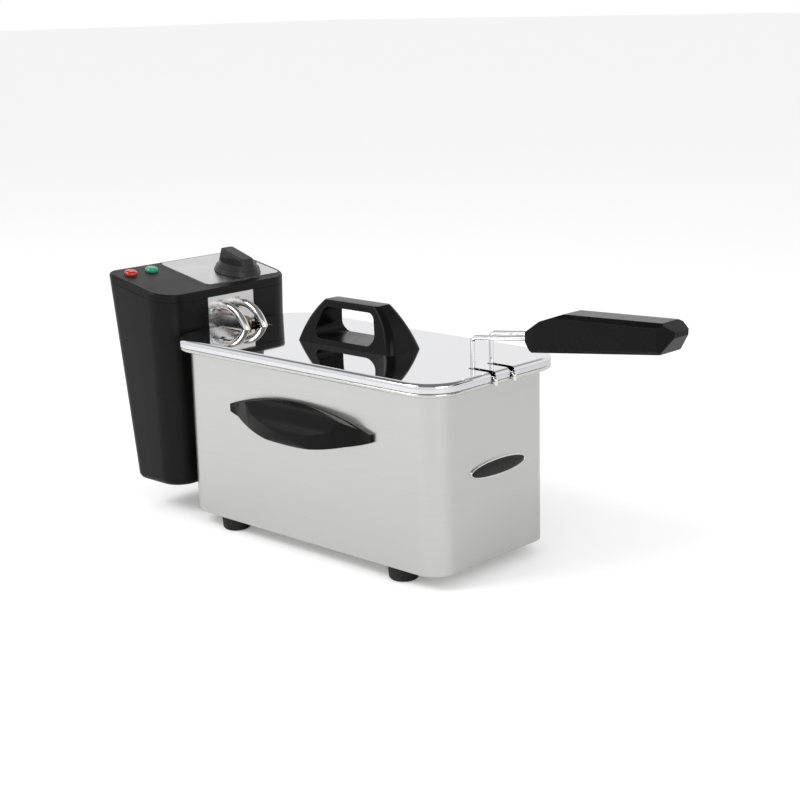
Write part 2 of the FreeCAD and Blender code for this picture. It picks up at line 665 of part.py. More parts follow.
def controlTopCover():
    outer = boxSolid(0, BOX_BOTTOM_Z + 100, boxTopRearZ + 10).cut(slopeCutter(0))
    outer = outer.common(slopeCutter(CAP_HEIGHT))
    top = [e for e in outer.Edges if all(abs((v.Point - V(boxX, 0, BOX_FRONT_TOP_Z)).dot(slopeN)) < 1e-3
                                         for v in e.Vertexes)]
    outer = outer.makeFillet(1.8, top)
    cap = outer.cut(boxSolid(BOX_WALL, BOX_BOTTOM_Z + 100, boxTopRearZ + 12).cut(slopeCutter(CAP_THICK)))
    lip = boxSolid(BOX_WALL + HOLE_CLEARANCE, BOX_BOTTOM_Z + 100, boxTopRearZ + 10)
    lip = lip.cut(boxSolid(BOX_WALL + HOLE_CLEARANCE + 1.6, BOX_BOTTOM_Z + 99, boxTopRearZ + 12))
    lip = lip.cut(slopeCutter(CAP_THICK)).common(slopeCutter(CAP_HEIGHT + 5))
    cap = join([cap, lip])
    cap = cap.cut(rod(topPoint(KNOB_SETBACK, KNOB_Y, -20), slopeN, SPINDLE_RADIUS + 1.0, 40))
    for y in LAMP_Y:
        cap = cap.cut(rod(topPoint(LAMP_SETBACK, y, -20), slopeN, LENS_NECK_RADIUS + HOLE_CLEARANCE, 40))
    return cap


def dialPlate():
    slope = BOX_DEPTH_TOP / math.cos(math.radians(BOX_SLOPE))
    corners = [(DIAL_FRONT, DIAL_LEFT), (DIAL_FRONT, DIAL_RIGHT), (slope - DIAL_REAR, DIAL_RIGHT),
               (slope - DIAL_REAR, DIAL_LEFT)]
    plate = polygonPrism([topPoint(s, y) for s, y in corners], slopeN * DIAL_THICK)
    edges = [e for e in plate.Edges if abs(e.Length - DIAL_THICK) < 1e-6]
    plate = plate.makeFillet(DIAL_CORNER, edges)
    return plate.cut(rod(topPoint(KNOB_SETBACK, KNOB_Y, -5), slopeN, SPINDLE_RADIUS + 1.0, 10))


def lampLens(y):
    neck = rod(topPoint(LAMP_SETBACK, y, -CAP_THICK - 2), slopeN, LENS_NECK_RADIUS, CAP_THICK + 2)
    head = rod(topPoint(LAMP_SETBACK, y), slopeN, LENS_RADIUS, LENS_RISE)
    rim = [e for e in head.Edges if (e.CenterOfMass - topPoint(LAMP_SETBACK, y, LENS_RISE)).Length < 0.1]
    head = head.makeFillet(2.4, rim)
    return join([head, neck])


def neonLamps():
    lamps = []
    for y in LAMP_Y:
        start = topPoint(LAMP_SETBACK, y, -CAP_THICK - 2)
        lamps.append(rod(start, slopeN * -1, LAMP_RADIUS, LAMP_LENGTH))
    return Part.Compound(lamps)


def onSlope(shape, place):
    """Stand a shape made about the origin, with z up, on the slope at the given place."""
    turn = FreeCAD.Rotation(V(0, 1, 0), BOX_SLOPE)
    shape.Placement = FreeCAD.Placement(place, turn)
    return shape


def thermostatBody():
    a, b, c = THERMOSTAT_SIZE
    body = Part.makeBox(a, b, c, V(-a / 2, -b / 2, -c))
    neck = Part.makeCylinder(7, THERMOSTAT_DROP - CAP_THICK, V(0, 0, 0))
    bore = Part.makeCylinder(SPINDLE_RADIUS + SPINDLE_CLEARANCE, 40, V(0, 0, -8))
    body = join([body, neck]).cut(bore)
    return onSlope(body, topPoint(KNOB_SETBACK, KNOB_Y, -THERMOSTAT_DROP))


def thermostatSpindle():
    length = THERMOSTAT_DROP + 7 + KNOB_HEIGHT * 0.65
    shaft = Part.makeCylinder(SPINDLE_RADIUS, length, V(0, 0, -THERMOSTAT_DROP - 7))
    top = length - THERMOSTAT_DROP - 7
    flat = Part.makeBox(10, 10, top - 3, V(SPINDLE_RADIUS * 0.5, -5, 3.2))
    return onSlope(shaft.cut(flat), topPoint(KNOB_SETBACK, KNOB_Y))


def knob():
    base = DIAL_THICK + PART_GAP + 0.2
    skirt = Part.makeCone(KNOB_RADIUS, KNOB_RADIUS - 1.5, KNOB_SKIRT, V(0, 0, base))
    hub = Part.makeCone(KNOB_RADIUS - 3, KNOB_HUB_RADIUS, 4, V(0, 0, base + KNOB_SKIRT))
    h = KNOB_HEIGHT
    w = KNOB_BAR / 2
    z0 = base + KNOB_SKIRT
    side = [(-KNOB_RADIUS + 1.2, z0), (-KNOB_RADIUS + 3, h), (KNOB_RADIUS - 8, h - KNOB_FALL), (KNOB_RADIUS - 3.2, z0)]
    bar = polygonPrism([V(x, -w, z) for x, z in side], V(0, 2 * w, 0))
    edges = [e for e in bar.Edges if abs(e.Vertexes[0].Z - e.Vertexes[1].Z) > KNOB_FALL + 1]
    bar = bar.makeFillet(w * 0.45, edges)
    top = [e for e in bar.Edges if e.BoundBox.ZMin > h - KNOB_FALL - 0.5]
    bar = bar.makeFillet(1.4, top)
    bore = Part.makeCylinder(SPINDLE_RADIUS, KNOB_HEIGHT * 0.65 - base + 0.2, V(0, 0, base - 0.2))
    flat = Part.makeBox(10, 10, KNOB_HEIGHT, V(SPINDLE_RADIUS * 0.5, -5, 3.2))
    body = join([skirt, hub, bar]).cut(bore.cut(flat))
    return onSlope(body, topPoint(KNOB_SETBACK, KNOB_Y))


def elementPath():
    e, o, i, z = ELEMENT_Y, ELEMENT_OUTER_Y, ELEMENT_INNER_Y, ELEMENT_Z
    inside = boxX - BOX_WALL - ELEMENT_INSIDE
    half = [V(inside, -e, ELEMENT_EXIT_Z), V(elementX, -e, ELEMENT_EXIT_Z), V(elementX, -e, z),
            V(elementX, -o, z), V(ELEMENT_FRONT_X, -o, z), V(ELEMENT_FRONT_X, -i, z), V(ELEMENT_TURN_X, -i, z)]
    return half + [V(p.x, -p.y, p.z) for p in reversed(half)]


def heatingElement():
    points = elementPath()
    bends = [ELEMENT_BEND] * (len(points) - 2)
    bends[0] = bends[-1] = ELEMENT_ENTRY_BEND
    return pipe(points, bends, ELEMENT_RADIUS)


def elementTerminals():
    x = boxX - BOX_WALL - ELEMENT_INSIDE
    tabs = []
    for y in (ELEMENT_Y, -ELEMENT_Y):
        tabs.append(box(x - 7, x, y - 3, y + 3, ELEMENT_EXIT_Z - 0.4, ELEMENT_EXIT_Z + 0.4))
    return Part.Compound(tabs)


def elementPlate():
    plate = box(boxX, boxX + PLATE_THICK, -PLATE_HALF, PLATE_HALF, PLATE_BOTTOM, PLATE_TOP)
    collars = [rod(V(boxX + PLATE_THICK, y, ELEMENT_EXIT_Z), V(1, 0, 0), ELEMENT_RADIUS + COLLAR_WALL, COLLAR_LENGTH)
               for y in (ELEMENT_Y, -ELEMENT_Y)]
    plate = join([plate] + collars)
    for y in (ELEMENT_Y, -ELEMENT_Y):
        plate = plate.cut(rod(V(boxX - 1, y, ELEMENT_EXIT_Z), V(1, 0, 0), ELEMENT_RADIUS + 0.02, 8))
    for y in (PLATE_SCREW_Y, -PLATE_SCREW_Y):
        plate = plate.cut(rod(V(boxX - 1, y, PLATE_SCREW_Z), V(1, 0, 0), CASE_SCREW_RADIUS + HOLE_CLEARANCE, 5))
    return plate.cut(rod(V(boxX - 1, 0, CAPILLARY_Z), V(1, 0, 0), CAPILLARY_RADIUS + HOLE_CLEARANCE, 5))


def elementPlateScrews():
    x = boxX + PLATE_THICK
    return Part.Compound([screw(V(x, y, PLATE_SCREW_Z), V(-1, 0, 0), PLATE_THICK + BOX_WALL + 5,
                                CASE_SCREW_RADIUS, PLATE_SCREW_HEAD, CASE_SCREW_HEAD_RADIUS)
                          for y in (PLATE_SCREW_Y, -PLATE_SCREW_Y)])


def elementStraps():
    z1 = ELEMENT_Z - ELEMENT_RADIUS
    edge = ELEMENT_OUTER_Y + ELEMENT_RADIUS
    return Part.Compound([box(x, x + STRAP_WIDTH, -edge, edge, z1 - 1, z1) for x in STRAP_X])


def bulbY():
    return (ELEMENT_OUTER_Y + ELEMENT_INNER_Y) / 2


def bulbZ():
    return ELEMENT_Z - ELEMENT_RADIUS + BULB_RADIUS


def thermostatBulb():
    x0 = STRAP_X[0] - (BULB_LENGTH - (STRAP_X[1] - STRAP_X[0] + STRAP_WIDTH)) / 2
    body = rod(V(x0, bulbY(), bulbZ()), V(1, 0, 0), BULB_RADIUS, BULB_LENGTH)
    return body.makeFillet(1.5, [e for e in body.Edges if e.Length > 10 and e.Length < 20.0])


def bulbClips():
    clips = []
    y, z = bulbY(), bulbZ()
    r = BULB_RADIUS
    for x in STRAP_X:
        hoop = rod(V(x + 2, y, z), V(1, 0, 0), r + 1, STRAP_WIDTH - 4)
        feet = box(x + 2, x + STRAP_WIDTH - 2, y - r - 4, y + r + 4, z - r, z - r + 1)
        body = join([hoop.common(box(-300, 300, -99, 99, z - r, 200)), feet])
        clips.append(body.cut(rod(V(x - 5, y, z), V(1, 0, 0), r + 0.02, 30)))
    return Part.Compound(clips)


def capillaryTube():
    y, z = bulbY(), bulbZ()
    x0 = STRAP_X[0] - (BULB_LENGTH - (STRAP_X[1] - STRAP_X[0] + STRAP_WIDTH)) / 2
    inside = boxX - BOX_WALL - 8
    target = topPoint(KNOB_SETBACK, KNOB_Y, -THERMOSTAT_DROP - THERMOSTAT_SIZE[2])
    low = target.z - 14
    points = [V(x0, y, z), V(-100, y, z), V(-100, 0, z), V(capillaryX, 0, z), V(capillaryX, 0, CAPILLARY_Z),
              V(inside, 0, CAPILLARY_Z), V(inside, 0, low), V(target.x, 0, low), V(target.x, KNOB_Y, low),
              V(target.x, KNOB_Y, target.z)]
    return pipe(points, [5.0] * 3 + [5.0, 4.0, 4.0, 4.0, 4.0], CAPILLARY_RADIUS)


def terminalBlock():
    depth, width, height = TERMINAL_SIZE
    x1 = boxX - BOX_WALL
    block = box(x1 - depth, x1, -width / 2, width / 2, TERMINAL_Z, TERMINAL_Z + height)
    for k in range(5):
        y = (k - 2) * 11.0
        block = block.cut(rod(V(x1 - depth * 0.75, y, TERMINAL_Z + height - 4), V(0, 0, 1), 2.2, 5))
    return block


def wiringLeads():
    depth, width, height = TERMINAL_SIZE
    x = boxX - BOX_WALL - ELEMENT_INSIDE - 4
    z0 = TERMINAL_Z + height
    leads = [rod(V(x, y, z0), V(0, 0, 1), LEAD_RADIUS, ELEMENT_EXIT_Z - 0.4 - z0)
             for y in (ELEMENT_Y, -ELEMENT_Y)]
    corner = topPoint(KNOB_SETBACK, KNOB_Y, -THERMOSTAT_DROP - THERMOSTAT_SIZE[2])
    top = corner.z + (corner.x - x) * math.tan(math.radians(BOX_SLOPE)) - 0.4
    leads.append(rod(V(x, KNOB_Y - 6, z0), V(0, 0, 1), LEAD_RADIUS, top - z0))
    return Part.Compound(leads)


def thermalCutout():
    x = rearWallX(CUTOUT_Z) + BOX_WALL + 1.2
    body = rod(V(x, 0, CUTOUT_Z), V(1, 0, 0), CUTOUT_RADIUS, CUTOUT_LENGTH)
    bore = rod(V(x - 1, 0, CUTOUT_Z), V(1, 0, 0), RESET_RADIUS - 1.5 + SPINDLE_CLEARANCE, 9)
    return body.cut(bore)


def resetBezel():
    """Threaded collar that clamps the cut-out to the rear wall and guides the reset button."""
    x = rearWallX(CUTOUT_Z)
    tube = rod(V(x - 2.4, 0, CUTOUT_Z), V(1, 0, 0), RESET_BEZEL_RADIUS - 3, BOX_WALL + 3.6)
    flange = rod(V(x - 2.4, 0, CUTOUT_Z), V(1, 0, 0), RESET_BEZEL_RADIUS, 1.6)
    return join([tube, flange]).cut(rod(V(x - 9, 0, CUTOUT_Z), V(1, 0, 0), RESET_RADIUS + SPINDLE_CLEARANCE, 30))


def resetButton():
    x = rearWallX(CUTOUT_Z)
    outer = x - 2.4 - RESET_TRAVEL - 0.6
    inner = x + BOX_WALL + 1.2 - RESET_TRAVEL - 0.5
    cap = rod(V(outer, 0, CUTOUT_Z), V(1, 0, 0), RESET_RADIUS, inner - outer)
    rim = [e for e in cap.Edges if abs(e.CenterOfMass.x - outer) < 0.05]
    cap = cap.makeFillet(0.8, rim)
    stem = rod(V(inner, 0, CUTOUT_Z), V(1, 0, 0), RESET_RADIUS - 1.5, 4.5)
    return join([cap, stem])


def reedSwitch():
    x1 = boxX - BOX_WALL
    return box(x1 - 7, x1, -14, 14, MAGNET_Z - 5, MAGNET_Z + 5)


def cordGland():
    """Inlet bush for a supply cord, through the rear wall near the bottom."""
    x = rearWallX(GLAND_Z)
    flange = rod(V(x - 3.8, 0, GLAND_Z), V(1, 0, 0), GLAND_RADIUS, 3)
    neck = rod(V(x - 2, 0, GLAND_Z), V(1, 0, 0), GLAND_RADIUS - 2.1, 10)
    nut = rod(V(x + BOX_WALL + 0.9, 0, GLAND_Z), V(1, 0, 0), GLAND_RADIUS + 0.5, 3)
    return join([flange, neck, nut]).cut(rod(V(x - 9, 0, GLAND_Z), V(1, 0, 0), GLAND_BORE, 40))


# ---- basket ----

def basketMesh():
    """Floor, four flat sides and four corners of mesh, which meet face to face."""
    x0, x1, h = BASKET_REAR, BASKET_FRONT, BASKET_HALF
    z0, z1, t, r = BASKET_FLOOR_Z, BASKET_TOP_Z, BASKET_SHEET, BASKET_CORNER
    shell = roundedPrism(x0, x1, -h, h, z0, z1, r)
    shell = shell.cut(roundedPrism(x0 + t, x1 - t, -h + t, h - t, z0 + t, z1 + 1, r - t))
    m = MESH_HOLE / 2
    middle = (x0 + x1) / 2
    nx = int((x1 - x0 - 2 * r) / MESH_PITCH)
    ny = int((2 * h - 2 * r) / MESH_PITCH)
    nz = int((z1 - z0 - 8) / MESH_PITCH)
    xs = [middle + (i - (nx - 1) / 2) * MESH_PITCH for i in range(nx)]
    ys = [(i - (ny - 1) / 2) * MESH_PITCH for i in range(ny)]
    zs = [z0 + 6 + m + i * MESH_PITCH for i in range(nz)]
    sides = Part.Compound([box(x - m, x + m, -h - 5, h + 5, z - m, z + m) for x in xs for z in zs])
    ends = Part.Compound([box(x0 - 5, x1 + 5, y - m, y + m, z - m, z + m) for y in ys for z in zs])
    floor = Part.Compound([box(x - m, x + m, y - m, y + m, z0 - 5, z0 + 3) for x in xs for y in ys])
    mesh = shell.cut(sides).cut(ends).cut(floor)
    cx0, cx1, cy, z2 = x0 + r, x1 - r, h - r, z0 + t
    panels = [box(x0 - 1, x1 + 1, -h - 1, h + 1, z0 - 1, z2)]
    for side in (1, -1):
        ys = sorted((side * cy, side * (h + 1)))
        panels.append(box(cx0, cx1, ys[0], ys[1], z2, z1 + 1))
        for xs in ((x0 - 1, cx0), (cx1, x1 + 1)):
            panels.append(box(xs[0], xs[1], ys[0], ys[1], z2, z1 + 1))
    for xs in ((x0 - 1, cx0), (cx1, x1 + 1)):
        panels.append(box(xs[0], xs[1], -cy, cy, z2, z1 + 1))
    return Part.Compound([solid for panel in panels for solid in mesh.common(panel).Solids])


def basketFrame():
    """Two hoops, each of four straight wires and four bends, and four upright ribs between them."""
    g = RING_RADIUS
    x0, x1, h, r = BASKET_REAR - g, BASKET_FRONT + g, BASKET_HALF + g, BASKET_CORNER + g
    wires = []
    for z in (BASKET_TOP_Z, LOWER_RING_Z):
        for edge in roundedWire(x0, x1, -h, h, z, r).Edges:
            start = edge.valueAt(edge.FirstParameter)
            profile = Part.Wire([Part.makeCircle(g, start, edge.tangentAt(edge.FirstParameter))])
            wires.append(Part.Wire([edge]).makePipeShell([profile], True, True))
    middle = (x0 + x1) / 2
    ribs = []
    for dx in (-60, 60):
        for y in (h, -h):
            rib = rod(V(middle + dx, y, LOWER_RING_Z + g - 0.6), V(0, 0, 1), RIB_RADIUS,
                      BASKET_TOP_Z - LOWER_RING_Z - 2 * g + 1.2)
            ribs.append(cut(rib, *wires))
    return Part.Compound(wires + [solid for rib in ribs for solid in rib.Solids])


def handleEnd():
    run = GRIP_START + GRIP_INSERT - rodX
    return V(rodX + run, 0, ROD_TOP_Z + run * math.tan(math.radians(ROD_SLOPE)))


def basketHandleWires():
    end = handleEnd()
    points = [V(end.x, -ROD_Y, end.z), V(rodX, -ROD_Y, ROD_TOP_Z), V(rodX, -ROD_Y, ROD_BOTTOM_Z),
              V(rodX, ROD_Y, ROD_BOTTOM_Z), V(rodX, ROD_Y, ROD_TOP_Z), V(end.x, ROD_Y, end.z)]
    arms = [pipe(points, [ROD_BEND] * 4, ROD_RADIUS)]
    for y in (ROD_Y, -ROD_Y):
        arms.append(pipe([V(rodX, y, hookZ), V(hookX, y, hookZ), V(hookX, y, hookZ - HOOK_DROP)],
                         [HOOK_RADIUS + 0.6], HOOK_RADIUS))
    return join(arms)


def basketGrip():
    """Bevelled bar round the axis of the two wires; the side view is a nine-sided outline."""
    s = GRIP_START
    profile = [(s, 179.0), (s + 5, 172.0), (s + 110, 184.0), (s + 118.5, 195.5), (s + 118.8, 199.5),
               (s + 110, 204.5), (s + 31, 201.5), (s + 13, 195.0), (s, 186.0)]
    w = GRIP_HALF_WIDTH
    bar = polygonPrism([V(x, -w, z) for x, z in profile], V(0, 2 * w, 0))
    bevel = GRIP_BEVEL
    plan = [(s - 1, -w + 0.8), (s + 8, -w), (s + 108, -w), (s + 120, -w + 6), (s + 120, w - 6), (s + 108, w),
            (s + 8, w), (s - 1, w - 0.8)]
    bar = bar.common(polygonPrism([V(x, y, 150) for x, y in plan], V(0, 0, 80)))
    for side in (1, -1):
        lower = [V(s - 20, side * (w + 1), 165.0), V(s - 20, side * (w + 1), 165.0 + bevel + 3.5),
                 V(s - 20, side * (w - bevel - 1), 165.0)]
        rise = V(170, 0, 170 * math.tan(math.radians(ROD_SLOPE + 0.6)))
        bar = bar.cut(polygonPrism(lower, rise))
        upper = [V(s - 20, side * (w + 1), 200.0), V(s - 20, side * (w + 1), 200.0 - bevel),
                 V(s - 20, side * (w - bevel), 200.0)]
        rise = V(190, 0, 190 * math.tan(math.radians(2.0)))
        bar = bar.cut(polygonPrism(upper, rise))
    end = handleEnd()
    for y in (ROD_Y, -ROD_Y):
        path = (V(end.x, y, end.z) - V(rodX, y, ROD_TOP_Z)).normalize()
        bar = bar.cut(rod(V(rodX, y, ROD_TOP_Z), path, ROD_RADIUS + 0.05,
                          (end - V(rodX, 0, ROD_TOP_Z)).Length + 0.3))
    return bar


# ---- lid ----

def lidPanel():
    t = LID_SHEET

    def tray(grow, z0, z1, edge):
        body = roundedPrism(lidRear - grow, rimL + grow, -rimW - grow, rimW + grow, z0, z1, rimCorner + grow)
        rim = [e for e in body.Edges if e.BoundBox.ZMin > z1 - 1e-6]
        return body.makeFillet(edge, rim)
    lid = tray(0, lidZ0, lidZ1, LID_EDGE_RADIUS)
    lid = lid.cut(tray(-t, lidZ0 - 5, lidZ1 - t, LID_EDGE_RADIUS - t))
    notchFront = elementX + ELEMENT_RADIUS + NOTCH_MARGIN
    lid = lid.cut(roundedPrism(lidRear - 40, notchFront, -NOTCH_HALF, NOTCH_HALF, lidZ0 - 5, lidZ1 + 5, 6))
    for y in (ROD_Y, -ROD_Y):
        slot = roundedPrism(rodX - ROD_RADIUS - SLOT_MARGIN, rimL + 20, y - SLOT_WIDTH / 2, y + SLOT_WIDTH / 2,
                            lidZ0 - 5, lidZ1 + 5, SLOT_WIDTH / 2 - 0.01)
        lid = lid.cut(slot)
    for x in (LID_HANDLE_SCREW_X, -LID_HANDLE_SCREW_X):
        lid = lid.cut(rod(V(x, 0, lidZ0 - 5), V(0, 0, 1), boreRadius, 20))
    return lid


def lidHandle():
    h = LID_HANDLE_HEIGHT
    levels = [(0, LID_HANDLE_BASE, 7.0), (0.5 * h, LID_HANDLE_MID, 6.0), (h, LID_HANDLE_TOP, 4.0)]
    wires = [roundedWire(-a, a, -b, b, lidZ1 + z, r) for z, (a, b), r in levels]
    body = Part.makeLoft(wires, True, False)
    rim = [e for e in body.Edges if e.BoundBox.ZMin > lidZ1 + h - 1e-3]
    body = body.makeFillet(2.2, rim)
    z0, z1 = lidZ1 + LID_HANDLE_FLOOR, lidZ1 + h - LID_HANDLE_ROOF
    wide, narrow = LID_HANDLE_OPENING
    opening = polygonPrism([V(-wide, -40, z0), V(wide, -40, z0), V(narrow, -40, z1), V(-narrow, -40, z1)],
                           V(0, 80, 0))
    corners = [e for e in opening.Edges if abs(e.Length - 80) < 1e-6]
    body = body.cut(opening.makeFillet(LID_HANDLE_CORNER, corners))
    for x in (LID_HANDLE_SCREW_X, -LID_HANDLE_SCREW_X):
        body = body.cut(rod(V(x, 0, lidZ1 - 1), V(0, 0, 1), boreRadius, 12))
    return body


def lidHandleScrews():
    seatZ = lidZ1 - LID_SHEET
    return Part.Compound([screw(V(x, 0, seatZ), V(0, 0, 1), LID_SHEET + 10) for x in
                          (LID_HANDLE_SCREW_X, -LID_HANDLE_SCREW_X)])


# ---- export ----

def pieces():
    nodes = {
        "housing_shell": housingShell(),
        "base_plate": basePlate(),
        "foot_screws": footScrews(),
        "foot_nuts": footNuts(),
        "side_handle_left": sideHandle().mirror(V(0, 0, 0), V(0, 1, 0)),
        "side_handle_right": sideHandle(),
        "side_handle_screws": sideHandleScrews(),
        "badge_plate": badgePlate(),
        "badge_clips": badgeClips(),
        "rear_bracket": rearBracket(),
        "bracket_rivets": bracketRivets(),
        "interlock_magnet": interlockMagnet(),
        "oil_pot": oilPot(),
        "control_front_shell": controlFrontShell(),
        "control_rear_cover": controlRearCover(),
        "control_top_cover": controlTopCover(),
        "case_screws": caseScrews(),
        "dial_plate": dialPlate(),
        "red_lens": lampLens(LAMP_Y[0]),
        "green_lens": lampLens(LAMP_Y[1]),
        "neon_lamps": neonLamps(),
        "thermostat_body": thermostatBody(),
        "thermostat_spindle": thermostatSpindle(),
        "thermostat_knob": knob(),
        "heating_element": heatingElement(),
        "element_terminals": elementTerminals(),
        "element_plate": elementPlate(),
        "element_plate_screws": elementPlateScrews(),
        "element_straps": elementStraps(),
        "thermostat_bulb": thermostatBulb(),
        "bulb_clips": bulbClips(),
        "capillary_tube": capillaryTube(),
        "terminal_block": terminalBlock(),
        "wiring_leads": wiringLeads(),
        "thermal_cutout": thermalCutout(),
        "reset_bezel": resetBezel(),
        "reset_button": resetButton(),
        "reed_switch": reedSwitch(),
        "cord_gland": cordGland(),
        "basket_mesh": basketMesh(),
        "basket_frame": basketFrame(),
        "basket_handle_wires": basketHandleWires(),
        "basket_grip": basketGrip(),
        "lid_panel": lidPanel(),
        "lid_handle": lidHandle(),
        "lid_handle_screws": lidHandleScrews(),
    }
    names = ["foot_front_left", "foot_front_right", "foot_rear_left", "foot_rear_right"]
    for name, (x, y) in zip(names, footPlaces()):
        nodes[name] = foot(x, y)
    return nodes


os.makedirs("parts", exist_ok=True)
nodes = pieces()
overall = FreeCAD.BoundBox()
for shape in nodes.values():
    overall.add(shape.optimalBoundingBox(False))
shift = V(-(overall.XMin + overall.XMax) / 2, -(overall.YMin + overall.YMax) / 2, -overall.ZMin)
for name, shape in nodes.items():
    moved = shape.copy()
    moved.translate(shift)
    moved.exportStep("parts/" + name + ".step")
    kinds = [s.isValid() for s in moved.Solids]
    print(name, len(moved.Solids), "solids", all(kinds), round(moved.Volume, 1))
print("shift", round(shift.x, 3), round(shift.y, 3), round(shift.z, 3))
print("overall", round(overall.XLength, 2), round(overall.YLength, 2), round(overall.ZLength, 2))
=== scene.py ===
import json
import math

import bmesh
import bpy
import numpy as np
from mathutils import Matrix, Vector


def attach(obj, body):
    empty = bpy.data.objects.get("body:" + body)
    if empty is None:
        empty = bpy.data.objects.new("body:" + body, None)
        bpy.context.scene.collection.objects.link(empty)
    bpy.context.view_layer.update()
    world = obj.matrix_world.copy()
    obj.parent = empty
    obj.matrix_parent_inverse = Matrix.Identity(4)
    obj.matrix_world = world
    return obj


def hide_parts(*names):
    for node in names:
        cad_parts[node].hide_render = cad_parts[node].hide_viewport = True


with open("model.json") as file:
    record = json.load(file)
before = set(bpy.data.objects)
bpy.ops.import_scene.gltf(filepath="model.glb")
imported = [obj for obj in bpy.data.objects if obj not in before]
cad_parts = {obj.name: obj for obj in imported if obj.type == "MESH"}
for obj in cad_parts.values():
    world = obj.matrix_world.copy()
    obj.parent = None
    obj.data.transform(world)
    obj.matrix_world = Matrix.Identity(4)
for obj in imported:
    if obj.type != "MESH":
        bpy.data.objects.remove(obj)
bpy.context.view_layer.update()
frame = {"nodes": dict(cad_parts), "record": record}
nodes = frame["nodes"]
mm = 0.001
print("frame loaded:", len(nodes), "nodes")


# ---- shared shader effects, each built once and placed in the materials with its own values ----

def startGroup(name, inputs, outputs):
    group = bpy.data.node_groups.new(name, "ShaderNodeTree")
    for label, kind, value in inputs:
        made = group.interface.new_socket(label, in_out="INPUT", socket_type=kind)
        made.default_value = value
    for label, kind in outputs:
        group.interface.new_socket(label, in_out="OUTPUT", socket_type=kind)
    return group, group.nodes.new("NodeGroupInput"), group.nodes.new("NodeGroupOutput")


def mathNode(tree, operation, a, b, clamp=False):
    made = tree.nodes.new("ShaderNodeMath")
    made.operation = operation
    made.use_clamp = clamp
    for socket, value in zip(made.inputs, (a, b)):
        if isinstance(value, (int, float)):
            socket.default_value = value
        else:
            tree.links.new(value, socket)
    return made.outputs[0]


def noiseNode(tree, vector, scale, detail=3.0, roughness=0.5):
    made = tree.nodes.new("ShaderNodeTexNoise")
    tree.links.new(vector, made.inputs["Vector"])
    for label, value in (("Scale", scale), ("Detail", detail), ("Roughness", roughness)):
        if isinstance(value, (int, float)):
            made.inputs[label].default_value = value
        else:
            tree.links.new(value, made.inputs[label])
    return made.outputs["Fac"]


# long fine scratches: object coordinates times Stretch, so the smallest value runs along the brushing
brushing, brushIn, brushOut = startGroup(
    "brushedLines",
    [("Stretch", "NodeSocketVector", (6.0, 6.0, 900.0)), ("Contrast", "NodeSocketFloat", 1.0)],
    [("Lines", "NodeSocketFloat")])
coords = brushing.nodes.new("ShaderNodeTexCoord")
stretch = brushing.nodes.new("ShaderNodeVectorMath")
stretch.operation = "MULTIPLY"
brushing.links.new(coords.outputs["Object"], stretch.inputs[0])
brushing.links.new(brushIn.outputs["Stretch"], stretch.inputs[1])
fine = noiseNode(brushing, stretch.outputs[0], 1.0, 4.0, 0.7)
shifted = mathNode(brushing, "SUBTRACT", fine, 0.5)
scaled = mathNode(brushing, "MULTIPLY", shifted, brushIn.outputs["Contrast"])
lines = mathNode(brushing, "ADD", scaled, 0.5, clamp=True)
brushing.links.new(lines, brushOut.inputs["Lines"])

# soft uneven patches, as wiping and handling leave
patches, patchIn, patchOut = startGroup(
    "wipedPatches",
    [("Size", "NodeSocketFloat", 18.0), ("Contrast", "NodeSocketFloat", 2.0)],
    [("Patches", "NodeSocketFloat"), ("Specks", "NodeSocketFloat")])
coords = patches.nodes.new("ShaderNodeTexCoord")
broad = noiseNode(patches, coords.outputs["Object"], patchIn.outputs["Size"], 5.0, 0.62)
shifted = mathNode(patches, "SUBTRACT", broad, 0.5)
scaled = mathNode(patches, "MULTIPLY", shifted, patchIn.outputs["Contrast"])
patches.links.new(mathNode(patches, "ADD", scaled, 0.5, clamp=True), patchOut.inputs["Patches"])
dots = noiseNode(patches, coords.outputs["Object"], 1400.0, 2.0, 0.5)
high = mathNode(patches, "SUBTRACT", dots, 0.66)
patches.links.new(mathNode(patches, "MULTIPLY", high, 12.0, clamp=True), patchOut.inputs["Specks"])

# spark-eroded mould texture: two sizes of noise as a height
grain, grainIn, grainOut = startGroup(
    "mouldGrain", [("Size", "NodeSocketFloat", 900.0)], [("Height", "NodeSocketFloat")])
coords = grain.nodes.new("ShaderNodeTexCoord")
coarse = noiseNode(grain, coords.outputs["Object"], grainIn.outputs["Size"], 2.0, 0.5)
finer = noiseNode(grain, coords.outputs["Object"],
                  mathNode(grain, "MULTIPLY", grainIn.outputs["Size"], 3.1), 2.0, 0.5)
grain.links.new(mathNode(grain, "ADD", coarse, mathNode(grain, "MULTIPLY", finer, 0.4)),
                grainOut.inputs["Height"])

# mask of sharp outer edges for a painted highlight: how far the rounded normal leans away from the real
# one
edges, edgeIn, edgeOut = startGroup(
    "edgeHighlightMask", [("Radius", "NodeSocketFloat", 0.0008), ("Strength", "NodeSocketFloat", 3.0)],
    [("Edge", "NodeSocketFloat")])
rounded = edges.nodes.new("ShaderNodeBevel")
rounded.samples = 4
edges.links.new(edgeIn.outputs["Radius"], rounded.inputs["Radius"])
real = edges.nodes.new("ShaderNodeNewGeometry")
lean = edges.nodes.new("ShaderNodeVectorMath")
lean.operation = "DOT_PRODUCT"
edges.links.new(rounded.outputs["Normal"], lean.inputs[0])
edges.links.new(real.outputs["Normal"], lean.inputs[1])
away = mathNode(edges, "SUBTRACT", 1.0, lean.outputs["Value"])
edges.links.new(mathNode(edges, "MULTIPLY", away, edgeIn.outputs["Strength"], clamp=True),
                edgeOut.inputs["Edge"])
print("shader groups built:", len(bpy.data.node_groups))


def startMaterial(name):
    made = bpy.data.materials.new(name)
    made.use_nodes = True
    return made, made.node_tree, made.node_tree.nodes["Principled BSDF"]


